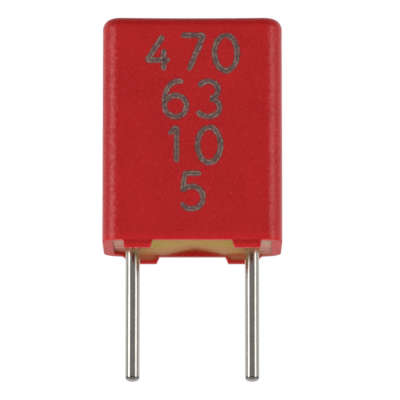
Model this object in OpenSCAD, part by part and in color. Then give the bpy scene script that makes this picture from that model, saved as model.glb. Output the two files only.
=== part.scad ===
// Box film capacitor for through-hole boards.
// A flattened roll of metallised film lies across a moulded plastic box, with its metal-sprayed
// ends facing the two short walls. A tinned wire is welded to each end, and the box is sealed from
// below with cast resin, through which the wires leave.
// Frame: X runs along the row of leads and +Z up. Z = 0 is the board on which the feet stand, and
// the origin lies midway between the leads. The marked long wall faces -Y.

/* [Case] */
// Length of the box, along the row of leads
case_length = 7.5; // [6.9:0.1:9]
// Width of the box, across the row of leads
case_width = 4.7; // [3.4:0.1:6]
// Height of the box from its open rim to its top, without the feet
case_height = 9.47; // [7:0.01:12]
// Thickness of the two long walls
long_wall = 0.38; // [0.3:0.01:0.45]
// Thickness of the two end walls
end_wall = 0.44; // [0.3:0.01:0.5]
// Thickness of the closed top
case_roof = 0.45; // [0.3:0.01:0.8]
// Radius of the four upright edges
edge_radius = 0.8; // [0.6:0.01:0.9]
// Radius of the edges round the top
top_radius = 0.47; // [0.2:0.01:0.59]

/* [Feet] */
// Height of the feet, which hold the rim clear of the board
foot_height = 0.33; // [0.2:0.01:0.6]
// Clear gap between the two front feet, at the board
front_foot_gap = 3.5; // [3:0.05:4]
// Length of a front foot, at the board
front_foot_length = 1.08; // [0.8:0.01:1.1]
// Run of a front foot's sloping inner side
front_foot_slope = 0.11; // [0:0.01:0.3]
// Run of a front foot's sloping outer side
front_foot_draft = 0.04; // [0:0.01:0.1]
// Clear gap between the two rear feet, at the board
rear_foot_gap = 3.04; // [2.6:0.02:3.4]
// Length of a rear foot, at the board
rear_foot_length = 1.28; // [1:0.01:1.3]
// Run of a rear foot's sloping inner side
rear_foot_slope = 0.15; // [0:0.01:0.3]
// Radius of the hollow fillet at the outer root of a rear foot
rear_foot_fillet = 0.22; // [0.05:0.01:0.26]
// Depth by which the rim hangs lower between the two rear feet
rear_lip = 0.04; // [0.01:0.01:0.1]

/* [Leads] */
// Distance between the axes of the two leads
lead_pitch = 5; // [4.6:0.05:5.3]
// Diameter of a lead
lead_diameter = 0.6; // [0.4:0.05:0.7]
// Length of a lead below the feet
lead_length = 5.3; // [3:0.1:12]
// Radius of the edge of a lead's cut end
lead_tip_radius = 0.14; // [0.05:0.01:0.19]
// Thickness of a lead inside the resin, where it is pressed flat to lie on its contact
pressed_thickness = 0.42; // [0.36:0.01:0.5]
// Radius of the edges of a lead's pressed part
pressed_radius = 0.12; // [0.05:0.01:0.14]
// Length of a lead's pressed part that lies on its contact
weld_length = 5.2; // [3:0.1:5.4]
// Depth to which a lead is sunk in its contact
weld_depth = 0.05; // [0.02:0.01:0.15]

/* [Winding] */
// Thickness of the sprayed metal on each end of the roll
contact_thickness = 0.25; // [0.15:0.01:0.4]
// Width of the slit where the roll was drawn off its mandrel and pressed flat
core_slit = 0.12; // [0.05:0.01:0.3]

/* [Resin] */
// Resin between the roll and the long walls
resin_side = 0.3; // [0.15:0.01:0.5]
// Resin between the roll and the top of the box
resin_top = 0.35; // [0.2:0.01:0.8]
// Resin between the roll and the open side of the box
resin_seal = 0.9; // [0.6:0.01:1.4]
// Depth of the resin's edge inside the rim
resin_recess = 0.05; // [0.03:0.01:0.1]
// Length of the hollow in the middle of the resin, along the row of leads
hollow_length = 2.5; // [1.6:0.1:2.9]
// Further depth of that hollow
hollow_depth = 0.18; // [0.1:0.01:0.4]
// Radius of the resin fillet where it has crept down a foot
foot_creep = 0.18; // [0.1:0.01:0.26]
// Height and spread of the resin cone where it has crept down a lead
lead_creep = 0.22; // [0.1:0.01:0.3]
// Thickness of that cone at its lower edge
creep_edge = 0.04; // [0.02:0.01:0.08]

/* [Hidden] */

$fn = 96;
// Overlap of a cutting tool with the open space beyond the face that it cuts
cut = 1;

rim_z = foot_height;
top_z = rim_z + case_height;
front_y = -case_width / 2;
rear_y = case_width / 2;

cavity_length = case_length - 2 * end_wall;
cavity_width = case_width - 2 * long_wall;
cavity_radius = edge_radius - (end_wall + long_wall) / 2;
cavity_top_z = top_z - case_roof;

resin_z = rim_z + resin_recess;
hollow_radius = (pow(hollow_length / 2, 2) + pow(hollow_depth, 2)) / (2 * hollow_depth);

lead_radius = lead_diameter / 2;
// Pressing keeps the wire's cross-section.
pressed_width = (PI * pow(lead_radius, 2) + (4 - PI) * pow(pressed_radius, 2)) / pressed_thickness;
contact_outer_x = lead_pitch / 2 - pressed_thickness / 2 + weld_depth;
contact_inner_x = contact_outer_x - contact_thickness;

roll_thickness = cavity_width - 2 * resin_side;
roll_bottom_z = resin_z + resin_seal;
roll_top_z = cavity_top_z - resin_top;
roll_height = roll_top_z - roll_bottom_z;
roll_middle_z = (roll_top_z + roll_bottom_z) / 2;
lead_top_z = roll_bottom_z + weld_length;

case_colour = [0.70, 0.13, 0.14];
resin_colour = [0.64, 0.53, 0.31];
film_colour = [0.78, 0.79, 0.80];
contact_colour = [0.55, 0.56, 0.57];
lead_colour = [0.78, 0.76, 0.72];

// Rectangle centred on the origin, with round corners.
module rounded_rectangle(length, width, radius) {
    square([length - 2 * radius, width], center = true);
    square([length, width - 2 * radius], center = true);
    for (x = [-1, 1], y = [-1, 1])
        translate([x * (length / 2 - radius), y * (width / 2 - radius)])
            circle(radius);
}

// Outline of a wall seen from its side: it stands on the X axis, and its upper corners are round.
module round_topped_wall(width, height, radius) {
    translate([-width / 2, 0])
        square([width, height - radius]);
    translate([-width / 2 + radius, 0])
        square([width - 2 * radius, height]);
    for (x = [-1, 1])
        translate([x * (width / 2 - radius), height - radius])
            circle(radius);
}

// Quarter of a round post whose upper edge is rounded. It fills the quadrant of +X and +Y.
module quarter_post(post_radius, height, radius) {
    rotate_extrude(angle = 90)
        intersection() {
            round_topped_wall(2 * post_radius, height, radius);
            square([post_radius, height]);
        }
}

// Block that stands on Z = 0, with round upright edges and a smaller radius round its top.
module round_topped_block(length, width, height, post_radius, radius) {
    straight_length = length - 2 * post_radius;
    straight_width = width - 2 * post_radius;
    rotate([90, 0, 90])
        linear_extrude(straight_length, center = true)
            round_topped_wall(width, height, radius);
    rotate([90, 0, 0])
        linear_extrude(straight_width, center = true)
            round_topped_wall(length, height, radius);
    for (side = [0, 1], end = [0, 1])
        mirror([end, 0, 0])
            mirror([0, side, 0])
                translate([straight_length / 2, straight_width / 2, 0])
                    quarter_post(post_radius, height, radius);
}

// The space inside the box, from one height to another.
module cavity(bottom_z, upper_z) {
    translate([0, 0, bottom_z])
        linear_extrude(upper_z - bottom_z)
            rounded_rectangle(cavity_length, cavity_width, cavity_radius);
}

// Outline of the foot on the +X side, seen from the front, with its root at the rim. Its inner
// side slopes, and its outer side has either a draft or a hollow fillet at the root.
module foot_outline(gap, length, slope, draft, fillet) {
    inner_x = gap / 2;
    outer_x = gap / 2 + length;
    polygon([[inner_x - slope, rim_z], [inner_x, 0], [outer_x, 0], [outer_x + draft, rim_z]]);
    if (fillet > 0)
        difference() {
            translate([outer_x, rim_z - fillet])
                square(fillet);
            translate([outer_x + fillet, rim_z - fillet])
                circle(fillet);
        }
}

// Both feet of one long wall, as thick as the wall. They start at outer_y and run towards +Y.
module pair_of_feet(outer_y, gap, length, slope, draft, fillet) {
    for (side = [0, 1])
        mirror([side, 0, 0])
            translate([0, outer_y + long_wall, 0])
                rotate([90, 0, 0])
                    linear_extrude(long_wall)
                        foot_outline(gap, length, slope, draft, fillet);
}

// The four feet, kept within the outline of the box where they reach its round edges.
module feet() {
    intersection() {
        linear_extrude(rim_z)
            rounded_rectangle(case_length, case_width, edge_radius);
        union() {
            pair_of_feet(front_y, front_foot_gap, front_foot_length, front_foot_slope,
                         front_foot_draft, 0);
            pair_of_feet(rear_y - long_wall, rear_foot_gap, rear_foot_length, rear_foot_slope,
                         0, rear_foot_fillet);
        }
    }
}

// Lower edge of the rear wall between its feet, which hangs a little below the rest of the rim.
module lip() {
    translate([-rear_foot_gap / 2, rear_y - long_wall, rim_z - rear_lip])
        cube([rear_foot_gap, long_wall, rear_lip]);
}

// Moulded cup, open below, with two narrow feet in front and two wide ones behind.
module case() {
    color(case_colour) {
        difference() {
            translate([0, 0, rim_z])
                round_topped_block(case_length, case_width, case_height, edge_radius, top_radius);
            cavity(rim_z - cut, cavity_top_z);
        }
        feet();
        lip();
    }
}

// Outline of the flattened roll, seen along its axis.
module roll_outline() {
    radius = roll_thickness / 2;
    straight = roll_height - roll_thickness;
    translate([-radius, -straight / 2])
        square([2 * radius, straight]);
    for (end = [-1, 1])
        translate([0, end * straight / 2])
            circle(radius);
}

// Flattened roll between two places along X, at its place in the box.
module roll(start_x, end_x) {
    translate([start_x, 0, roll_middle_z])
        rotate([90, 0, 90])
            linear_extrude(end_x - start_x)
                roll_outline();
}

// All turns of the two metallised films, wound and pressed flat round the collapsed core.
module film_winding() {
    color(film_colour)
        difference() {
            roll(-contact_inner_x, contact_inner_x);
            translate([0, 0, roll_middle_z])
                cube([2 * (contact_inner_x + cut), core_slit, roll_height - roll_thickness],
                     center = true);
        }
}

// Round wire that stands on Z = 0, with a rounded edge at its cut end.
module cut_wire(length) {
    rotate_extrude()
        difference() {
            square([lead_radius, length]);
            difference() {
                translate([lead_radius - lead_tip_radius, 0])
                    square(lead_tip_radius);
                translate([lead_radius - lead_tip_radius, lead_tip_radius])
                    circle(lead_tip_radius);
            }
        }
}

// Tinned wire on the +X side: round as far as the resin, and pressed flat inside it.
module lead() {
    translate([lead_pitch / 2, 0, 0]) {
        translate([0, 0, -lead_length])
            cut_wire(lead_length + resin_z);
        translate([0, 0, resin_z])
            linear_extrude(lead_top_z - resin_z)
                rounded_rectangle(pressed_thickness, pressed_width, pressed_radius);
    }
}

// Sprayed metal on the +X end of the roll, with the groove in which the lead is welded.
module end_contact() {
    difference() {
        roll(contact_inner_x, contact_outer_x);
        lead();
    }
}

// Resin that has crept down one foot's inner face, as a hollow fillet along the foot.
module creep_on_foot(inner_y, towards, gap, length) {
    translate([gap / 2, inner_y, resin_z])
        rotate([90, 0, 90])
            linear_extrude(length)
                difference() {
                    translate([towards > 0 ? 0 : -foot_creep, -foot_creep])
                        square(foot_creep);
                    translate([towards * foot_creep, -foot_creep])
                        circle(foot_creep);
                }
}

// Resin that has crept down a lead, as a short cone round it.
module creep_on_lead() {
    translate([lead_pitch / 2, 0, resin_z - lead_creep])
        cylinder(h = lead_creep, r1 = lead_radius + creep_edge, r2 = lead_radius + lead_creep);
}

// Cast resin that fills the box round the roll, hollow in the middle of its lower face.
module potting_resin() {
    color(resin_colour)
        difference() {
            union() {
                cavity(resin_z, cavity_top_z);
                for (side = [0, 1])
                    mirror([side, 0, 0]) {
                        creep_on_foot(-cavity_width / 2, 1, front_foot_gap, front_foot_length);
                        creep_on_foot(cavity_width / 2, -1, rear_foot_gap, rear_foot_length);
                        creep_on_lead();
                    }
            }
            translate([0, 0, resin_z + hollow_depth - hollow_radius])
                rotate([90, 0, 0])
                    cylinder(h = cavity_width + cut, r = hollow_radius, center = true, $fn = 360);
            roll(-contact_outer_x, contact_outer_x);
            for (side = [0, 1])
                mirror([side, 0, 0])
                    lead();
        }
}

module end_contact_left() { color(contact_colour) mirror([1, 0, 0]) end_contact(); }
module end_contact_right() { color(contact_colour) end_contact(); }
module lead_left() { color(lead_colour) mirror([1, 0, 0]) lead(); }
module lead_right() { color(lead_colour) lead(); }

case();
potting_resin();
film_winding();
end_contact_left();
end_contact_right();
lead_left();
lead_right();
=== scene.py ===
"""Looks of a box film capacitor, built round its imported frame.

The moulded case, the cast resin and the two tinned leads are remade here as smooth surfaces of the
same form as their solids, and the face gets a laser-etched marking of plain numbers. The roll and
its metal-sprayed ends stay as they are, out of sight, with materials of their own.

All lengths are in metres. X runs along the row of leads, +Z up and -Y towards the marked face.
"""

import logging
import math
from dataclasses import dataclass
from enum import Enum
from typing import Sequence

import bpy
import numpy as np
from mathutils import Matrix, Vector


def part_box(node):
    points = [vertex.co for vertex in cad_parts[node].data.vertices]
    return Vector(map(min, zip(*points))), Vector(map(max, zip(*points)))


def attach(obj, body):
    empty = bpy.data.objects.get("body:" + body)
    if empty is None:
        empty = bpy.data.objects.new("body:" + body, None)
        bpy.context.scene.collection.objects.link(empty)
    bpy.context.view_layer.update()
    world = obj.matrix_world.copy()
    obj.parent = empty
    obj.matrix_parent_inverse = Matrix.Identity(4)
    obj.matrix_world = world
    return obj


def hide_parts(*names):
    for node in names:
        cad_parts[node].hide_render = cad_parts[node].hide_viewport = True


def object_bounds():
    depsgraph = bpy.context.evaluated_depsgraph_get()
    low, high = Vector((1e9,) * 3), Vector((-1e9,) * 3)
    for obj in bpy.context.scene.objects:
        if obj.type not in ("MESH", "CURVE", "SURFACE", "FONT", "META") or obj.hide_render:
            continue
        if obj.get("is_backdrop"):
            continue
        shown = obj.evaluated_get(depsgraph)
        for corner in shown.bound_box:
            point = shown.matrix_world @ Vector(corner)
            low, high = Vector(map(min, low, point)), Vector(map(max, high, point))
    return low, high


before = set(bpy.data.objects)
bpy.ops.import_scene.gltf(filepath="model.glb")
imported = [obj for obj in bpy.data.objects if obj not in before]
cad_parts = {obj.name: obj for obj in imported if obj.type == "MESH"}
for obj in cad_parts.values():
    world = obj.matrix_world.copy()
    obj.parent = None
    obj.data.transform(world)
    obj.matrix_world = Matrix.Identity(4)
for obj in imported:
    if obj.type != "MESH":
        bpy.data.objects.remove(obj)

MM = 0.001
ROOT_BODY = "root"
LEAD_RADIUS = 0.3 * MM
LEAD_CLEAR = 0.05 * MM
LOG = logging.getLogger("film_capacitor")

Array = np.ndarray
Colour = tuple[float, float, float]
Pair = tuple[float, float]
Skin = tuple[Array, Array, Array]
Socket = bpy.types.NodeSocket


# ---------------------------------------------------------------------------------------------
# Numbers and colours
# ---------------------------------------------------------------------------------------------


def srgb(red: int, green: int, blue: int) -> Colour:
    """Turn a display colour into the linear colour that shaders take.

    Args:
        red: Red from 0 to 255.
        green: Green from 0 to 255.
        blue: Blue from 0 to 255.

    Returns:
        The linear colour, each channel from 0 to 1.
    """
    shown = np.array([red, green, blue]) / 255
    linear = np.where(shown <= 0.04045, shown / 12.92, ((shown + 0.055) / 1.055) ** 2.4)
    return tuple(float(channel) for channel in linear)


def smooth_step(low: float, high: float, value: Array) -> Array:
    """Rise from 0 at low to 1 at high, level at both ends: 3 t squared minus 2 t cubed.

    Args:
        low: Where the rise starts.
        high: Where it ends. It may be lower than low, which turns the rise into a fall.
        value: The values to weigh.

    Returns:
        A weight from 0 to 1 for each value.
    """
    t = np.clip((value - low) / (high - low), 0, 1)
    return t * t * (3 - 2 * t)


# ---------------------------------------------------------------------------------------------
# Meshes
# ---------------------------------------------------------------------------------------------


def signed_volume(points: Array, triangles: Array) -> float:
    """Volume inside a closed surface: a sixth of the sum of each triangle's triple product.

    Args:
        points: Vertices, shape (n, 3).
        triangles: Vertex numbers, shape (m, 3).

    Returns:
        The volume, which is negative if the faces point inwards.
    """
    a, b, c = (points[triangles[:, corner]] for corner in range(3))
    return float(np.einsum("ij,ij->i", a, np.cross(b, c)).sum() / 6)


def closed_surface(rings: Array) -> Skin:
    """Join rings into a closed skin, with a pole in the middle of the first and the last ring.

    Args:
        rings: Points, shape (rings, points of a ring, 3). Each ring closes on itself.

    Returns:
        The vertices, the four-sided faces between rings and the triangles round the poles, all
        pointing outwards.
    """
    ring_count, ring_size, _ = rings.shape
    first_pole = ring_count * ring_size
    points = np.concatenate([rings.reshape(-1, 3), rings[[0, -1]].mean(axis=1)])
    number = np.arange(first_pole).reshape(ring_count, ring_size)
    onward = np.roll(number, -1, axis=1)
    quads = np.stack([number[:-1], onward[:-1], onward[1:], number[1:]], axis=-1).reshape(-1, 4)
    start = np.stack([onward[0], number[0], np.full(ring_size, first_pole)], axis=-1)
    end = np.stack([number[-1], onward[-1], np.full(ring_size, first_pole + 1)], axis=-1)
    fans = np.concatenate([start, end])
    triangles = np.concatenate([quads[:, :3], quads[:, [0, 2, 3]], fans])
    if signed_volume(points, triangles) < 0:
        quads, fans = quads[:, ::-1], fans[:, ::-1]
    return points, quads, fans


def mesh_object(name: str, skins: Sequence[Skin], sharp_deg: float) -> bpy.types.Object:
    """Make one object from closed skins.

    Args:
        name: The object's name.
        skins: For each skin its vertices, its four-sided faces and its triangles.
        sharp_deg: Edges that turn by more than this many degrees stay sharp.

    Returns:
        The object, linked to the scene, with its place in its mesh.
    """
    points, faces, first = [], [], 0
    for skin_points, quads, triangles in skins:
        points.append(skin_points)
        faces += (quads + first).tolist() + (triangles + first).tolist()
        first += len(skin_points)
    mesh = bpy.data.meshes.new(name)
    mesh.from_pydata(np.concatenate(points), [], faces)
    mesh.polygons.foreach_set("use_smooth", np.ones(len(faces), bool))
    mesh.set_sharp_from_angle(angle=math.radians(sharp_deg))
    mesh.validate()
    made = bpy.data.objects.new(name, mesh)
    bpy.context.scene.collection.objects.link(made)
    return made


def add_attribute(piece: bpy.types.Object, name: str, values: Array) -> None:
    """Give a piece a number at each vertex, for its material to read.

    Args:
        piece: The piece.
        name: The attribute's name.
        values: One value for each vertex. The poles at the end, if left out, get 0.
    """
    padded = np.zeros(len(piece.data.vertices), np.float32)
    padded[: len(values)] = values
    piece.data.attributes.new(name, "FLOAT", "POINT").data.foreach_set("value", padded)


def settle(piece: bpy.types.Object, slot: str, material: bpy.types.Material, *nodes: str) -> None:
    """Give a finished piece its body and its material, and hide the nodes of the frame that it stands for.

    Args:
        piece: The piece.
        slot: The record's material slot. It is not used.
        material: The finish.
        nodes: The nodes of the frame that the piece replaces, if any.
    """
    piece.data.materials.append(material)
    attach(piece, ROOT_BODY)
    if nodes:
        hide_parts(*nodes)
    LOG.info("%s: %d faces", piece.name, len(piece.data.polygons))


# ---------------------------------------------------------------------------------------------
# Shader building blocks
# ---------------------------------------------------------------------------------------------


class NodeTree:
    """Short ways to add and join nodes in a tree."""

    def __init__(self, tree: bpy.types.NodeTree) -> None:
        """Keep the tree and clear it."""
        self.tree = tree
        tree.nodes.clear()

    def add(self, kind: str, settings: dict[str, object] | None = None, **inputs: object) -> bpy.types.Node:
        """Add a node.

        Args:
            kind: The node's type.
            settings: Properties of the node itself.
            inputs: Values or sockets for its inputs. An underscore in a name stands for a space.

        Returns:
            The node.
        """
        node = self.tree.nodes.new(kind)
        for key, value in (settings or {}).items():
            setattr(node, key, value)
        for key, value in inputs.items():
            self.put(node.inputs[key.replace("_", " ")], value)
        return node

    def put(self, socket: Socket, value: object) -> None:
        """Join a socket to an input, or set the input's value.

        Args:
            socket: The input.
            value: The socket to join to it, or a number, vector or colour.
        """
        if isinstance(value, Socket):
            self.tree.links.new(value, socket)
        elif socket.type == "RGBA" and len(value) == 3:
            socket.default_value = (*value, 1)
        else:
            socket.default_value = value

    def math(self, operation: str, *values: object) -> Socket:
        """Work out one number from up to three.

        Args:
            operation: The Math node's operation.
            values: Numbers or sockets, in order.

        Returns:
            The result's socket.
        """
        node = self.add("ShaderNodeMath", {"operation": operation})
        for socket, value in zip(node.inputs, values):
            self.put(socket, value)
        return node.outputs[0]

    def ramp(
        self, value: object, low: object, high: object, start: object = 0, end: object = 1
    ) -> Socket:
        """Carry a value smoothly from one range to another.

        Args:
            value: The number or socket to carry.
            low: Where the value's own range starts.
            high: Where it ends.
            start: The result at low.
            end: The result at high.

        Returns:
            The result's socket.
        """
        node = self.add("ShaderNodeMapRange", {"interpolation_type": "SMOOTHSTEP"})
        for socket, number in zip(node.inputs, (value, low, high, start, end)):
            self.put(socket, number)
        return node.outputs["Result"]

    def mix(self, share: object, first: object, second: object) -> Socket:
        """Mix two colours.

        Args:
            share: How much of the second colour is taken, from 0 to 1.
            first: The first colour or its socket.
            second: The second colour or its socket.

        Returns:
            The mixed colour's socket.
        """
        node = self.add("ShaderNodeMix", {"data_type": "RGBA"})
        for position, value in ((0, share), (6, first), (7, second)):
            self.put(node.inputs[position], value)
        return node.outputs[2]

    def noise(
        self, place: object, size: float, detail: float = 3, roughness: float = 0.5
    ) -> Socket:
        """Add a noise whose patches measure about the given size.

        Args:
            place: The coordinates' socket.
            size: The size of a patch.
            detail: How many finer layers it has.
            roughness: How strong those are.

        Returns:
            The noise's value, about 0.5 on average.
        """
        layers = {"Detail": detail, "Roughness": roughness}
        return self.add("ShaderNodeTexNoise", Vector=place, Scale=1 / size, **layers).outputs["Fac"]

    def place(self) -> Socket:
        """The piece's own coordinates, in metres."""
        return self.add("ShaderNodeTexCoord").outputs["Object"]

    def stretched(self, place: object, scale: tuple[float, float, float]) -> Socket:
        """Coordinates scaled along each axis: a scale under 1 draws a pattern out along it."""
        return self.add("ShaderNodeMapping", Vector=place, Scale=scale).outputs["Vector"]

    def attribute(self, name: str) -> Socket:
        """The number that a piece carries at each vertex under the given name."""
        return self.add("ShaderNodeAttribute", {"attribute_name": name}).outputs["Fac"]

    def away(self, value: object, middle: float) -> Socket:
        """How far a value lies from a middle one, on either side."""
        return self.math("ABSOLUTE", self.math("SUBTRACT", value, middle))

    def effect(self, tree: bpy.types.NodeTree, **inputs: object) -> bpy.types.NodeOutputs:
        """Add a shared effect.

        Args:
            tree: The effect's node group.
            inputs: Values or sockets for its inputs.

        Returns:
            Its outputs.
        """
        return self.add("ShaderNodeGroup", {"node_tree": tree}, **inputs).outputs

    def dress(
        self,
        shader: bpy.types.Node,
        colour: object,
        roughness: object,
        height: object,
        depth: float,
        strength: object = 1.0,
    ) -> None:
        """Give a shader its colour, its roughness and a relief.

        Args:
            shader: The Principled shader.
            colour: The base colour.
            roughness: The roughness.
            height: The relief's height, from 0 to 1.
            depth: How much a height of 1 stands for.
            strength: How much of the relief shows.
        """
        relief = self.add("ShaderNodeBump", Height=height, Distance=depth, Strength=strength)
        self.put(shader.inputs["Base Color"], colour)
        self.put(shader.inputs["Roughness"], roughness)
        self.put(shader.inputs["Normal"], relief.outputs["Normal"])


def node_group(
    name: str, inputs: dict[str, float], outputs: Sequence[str]
) -> tuple[NodeTree, bpy.types.Node]:
    """Start a shader node group with number inputs, a vector input and number outputs.

    Args:
        name: The group's name.
        inputs: The number inputs and their defaults.
        outputs: The outputs' names.

    Returns:
        The group's tree, cleared, and its input node.
    """
    tree = bpy.data.node_groups.new(name, "ShaderNodeTree")
    tree.interface.new_socket("Place", in_out="INPUT", socket_type="NodeSocketVector")
    for key, value in inputs.items():
        socket = tree.interface.new_socket(key, in_out="INPUT", socket_type="NodeSocketFloat")
        socket.default_value = value
    for key in outputs:
        tree.interface.new_socket(key, in_out="OUTPUT", socket_type="NodeSocketFloat")
    nodes = NodeTree(tree)
    return nodes, nodes.add("NodeGroupInput")


class Effects:
    """Shader node groups that several finishes share, each made once."""

    def __init__(self) -> None:
        """Build the groups."""
        self.grain = self._grain()
        self.mottle = self._mottle()

    @staticmethod
    def _grain() -> bpy.types.NodeTree:
        """Fine pitted grain, as a height: coarse pits with finer ones among them."""
        nodes, given = node_group("fine_grain", {"Size": 0.1 * MM, "Fineness": 0.4}, ["Height"])
        frequency = nodes.math("DIVIDE", 1, given.outputs["Size"])
        coarse = nodes.add("ShaderNodeTexNoise", Vector=given.outputs["Place"], Scale=frequency, Detail=2)
        finer = nodes.math("MULTIPLY", frequency, 3.1)
        fine = nodes.add("ShaderNodeTexNoise", Vector=given.outputs["Place"], Scale=finer, Detail=1)
        share = given.outputs["Fineness"]
        low = nodes.math("MULTIPLY", coarse.outputs["Fac"], nodes.math("SUBTRACT", 1, share))
        high = nodes.math("MULTIPLY", fine.outputs["Fac"], share)
        nodes.add("NodeGroupOutput", Height=nodes.math("ADD", low, high))
        return nodes.tree

    @staticmethod
    def _mottle() -> bpy.types.NodeTree:
        """Soft clouds from 0 to 1, with small specks as a second mask."""
        sizes = {"Size": 1.5 * MM, "Speck Size": 0.12 * MM}
        nodes, given = node_group("soft_mottle", sizes, ["Clouds", "Specks"])
        place = given.outputs["Place"]
        cloud, speck = (
            nodes.add(
                "ShaderNodeTexNoise",
                Vector=place,
                Detail=detail,
                Scale=nodes.math("DIVIDE", 1, given.outputs[size]),
            )
            for size, detail in (("Size", 3), ("Speck Size", 1))
        )
        nodes.add(
            "NodeGroupOutput",
            Clouds=nodes.ramp(cloud.outputs["Fac"], 0.3, 0.7),
            Specks=nodes.ramp(speck.outputs["Fac"], 0.6, 0.72),
        )
        return nodes.tree


def start_material(name: str) -> tuple[bpy.types.Material, NodeTree, bpy.types.Node]:
    """Start a material with a Principled shader joined to its output.

    Args:
        name: The material's name.

    Returns:
        The material, its nodes and the shader.
    """
    material = bpy.data.materials.new(name)
    material.use_nodes = True
    nodes = NodeTree(material.node_tree)
    shader = nodes.add("ShaderNodeBsdfPrincipled")
    nodes.add("ShaderNodeOutputMaterial", Surface=shader.outputs["BSDF"])
    return material, nodes, shader


# ---------------------------------------------------------------------------------------------
# Finishes
# ---------------------------------------------------------------------------------------------


@dataclass(frozen=True)
class MouldedPlastic:
    """Red plastic from a finely spark-eroded mould."""

    colour: Colour = srgb(174, 14, 18)
    deeper: Colour = srgb(166, 10, 14)
    paler: Colour = srgb(196, 52, 54)
    # Painted light: a lighter red over the last 0.4 mm above the lower rim, standing in for light from
    # below.
    near_rim_painted_light: Colour = srgb(186, 18, 22)
    # Painted highlight: a paler coral red for the rim's lower faces and the feet's sloped edges, standing
    # in for the pale sheen they catch.
    rim: Colour = srgb(202, 50, 50)
    # Painted shade: a darker red for the band just below rim height where the feet join the wall.
    foot_root_painted_shade: Colour = srgb(162, 8, 8)
    resin_film: Colour = srgb(166, 98, 66)
    rim_height: float = 0.33 * MM
    root_band: float = 0.21 * MM
    grain_size: float = 0.13 * MM
    grain_depth: float = 0.026 * MM
    grain_fineness: float = 0.3
    speck_share: float = 0.2
    near_rim_reach: float = 0.4 * MM
    edge_softness: float = 0.02 * MM
    smooth_rim_share: float = 0.8
    roughness: float = 0.2
    roughness_spread: tuple[float, float] = (-0.08, 0.2)
    refraction: float = 1.6
    sheen: Colour = (1, 0.55, 0.55)

    def material(self, effects: Effects) -> bpy.types.Material:
        """Build the material.

        Args:
            effects: The shared node groups.

        Returns:
            The material.
        """
        material, nodes, shader = start_material("moulded_red_plastic")
        place = nodes.place()
        mottle = nodes.effect(effects.mottle, Place=place)
        grain = nodes.effect(
            effects.grain, Place=place, Size=self.grain_size, Fineness=self.grain_fineness
        )["Height"]
        body = nodes.mix(mottle["Clouds"], self.deeper, self.colour)
        height = nodes.add("ShaderNodeSeparateXYZ", Vector=place).outputs["Z"]
        rim, soft = self.rim_height, self.edge_softness
        # Painted light: the colour turns lighter towards the lower rim, for light from below.
        body = nodes.mix(nodes.ramp(height, rim + self.near_rim_reach, rim), body, self.near_rim_painted_light)
        # Painted shade: a darker band from rim height down over the feet's roots, standing in for shade on
        # a surface turning down there.
        root_start = nodes.ramp(height, rim + soft, rim - soft)
        root_end = nodes.ramp(height, rim - self.root_band, rim - 0.6 * self.root_band)
        body = nodes.mix(nodes.math("MULTIPLY", root_start, root_end), body, self.foot_root_painted_shade)
        # Painted highlight: where the rim attribute is set the red turns paler coral, and the grain relief
        # is weaker there.
        on_rim = nodes.attribute("rim")
        body = nodes.mix(on_rim, body, self.rim)
        body = nodes.mix(nodes.attribute("film"), body, self.resin_film)
        specks = nodes.math("MULTIPLY", mottle["Specks"], self.speck_share)
        low, high = (self.roughness + spread for spread in self.roughness_spread)
        smoother = nodes.math("SUBTRACT", 1, nodes.math("MULTIPLY", on_rim, self.smooth_rim_share))
        roughness = nodes.ramp(grain, 0.3, 0.7, low, high)
        body = nodes.mix(specks, body, self.paler)
        nodes.dress(shader, body, roughness, grain, self.grain_depth, smoother)
        shader.inputs["IOR"].default_value = self.refraction
        shader.inputs["Specular Tint"].default_value = (*self.sheen, 1)
        return material


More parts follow.
